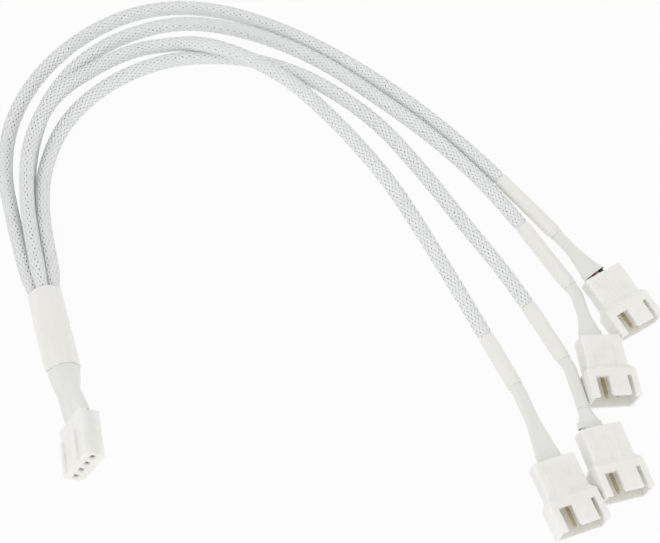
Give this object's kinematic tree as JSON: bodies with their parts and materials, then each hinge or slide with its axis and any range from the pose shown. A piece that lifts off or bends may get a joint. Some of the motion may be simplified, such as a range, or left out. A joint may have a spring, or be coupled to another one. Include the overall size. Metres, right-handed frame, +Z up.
{
  "type": "fan splitter cable",
  "caption": "Splitter lead for cooling fans: a socket plug and a shrink-wrapped joint feed white braided legs, each ending in a shrouded pin plug.",
  "frame": {"origin": "on the table, under the middle of the box around the plugs, collars and joint", "axes": "+Z up, +X from the joint towards the pin plugs, the plugs' mouths towards -Y"},
  "size_m": [0.1687, 0.1617, 0.0125],
  "materials": {
    "sleeve": "woven PET braid",
    "shrink": "heat-shrink",
    "wire": "extruded PVC",
    "wire_red": "extruded PVC",
    "housing": "moulded nylon",
    "contact": "tin-plated",
    "splice": "tin-plated"
  },
  "bodies": {
    "root": {"collar_1": "shrink", "collar_2": "shrink", "collar_3": "shrink", "collar_4": "shrink", "inner_shrink": "shrink", "input_contact_1": "contact", "input_contact_2": "contact", "input_contact_3": "contact", "input_contact_4": "contact", "input_housing": "housing", "input_wire_1": "wire", "input_wire_2": "wire_red", "input_wire_3": "wire", "input_wire_4": "wire", "output_cover_1": "shrink", "output_cover_2": "shrink", "output_cover_3": "shrink", "output_cover_4": "shrink", "output_housing_1": "housing", "output_housing_2": "housing", "output_housing_3": "housing", "output_housing_4": "housing", "output_pin_1_1": "contact", "output_pin_1_2": "contact", "output_pin_1_3": "contact", "output_pin_1_4": "contact", "output_pin_2_1": "contact", "output_pin_2_2": "contact", "output_pin_2_3": "contact", "output_pin_3_1": "contact", "output_pin_3_2": "contact", "output_pin_3_3": "contact", "output_pin_4_1": "contact", "output_pin_4_2": "contact", "output_pin_4_3": "contact", "output_wire_1_1": "wire", "output_wire_1_2": "wire_red", "output_wire_1_3": "wire", "output_wire_1_4": "wire", "output_wire_2_1": "wire", "output_wire_2_2": "wire_red", "output_wire_2_3": "wire", "output_wire_3_1": "wire", "output_wire_3_2": "wire_red", "output_wire_3_3": "wire", "output_wire_4_1": "wire", "output_wire_4_2": "wire_red", "output_wire_4_3": "wire", "sleeve_1": "sleeve", "sleeve_2": "sleeve", "sleeve_3": "sleeve", "sleeve_4": "sleeve", "splice_1": "splice", "splice_2": "splice", "splice_3": "splice", "splice_4": "splice", "trunk_shrink": "shrink"}
  },
  "joints": []
}
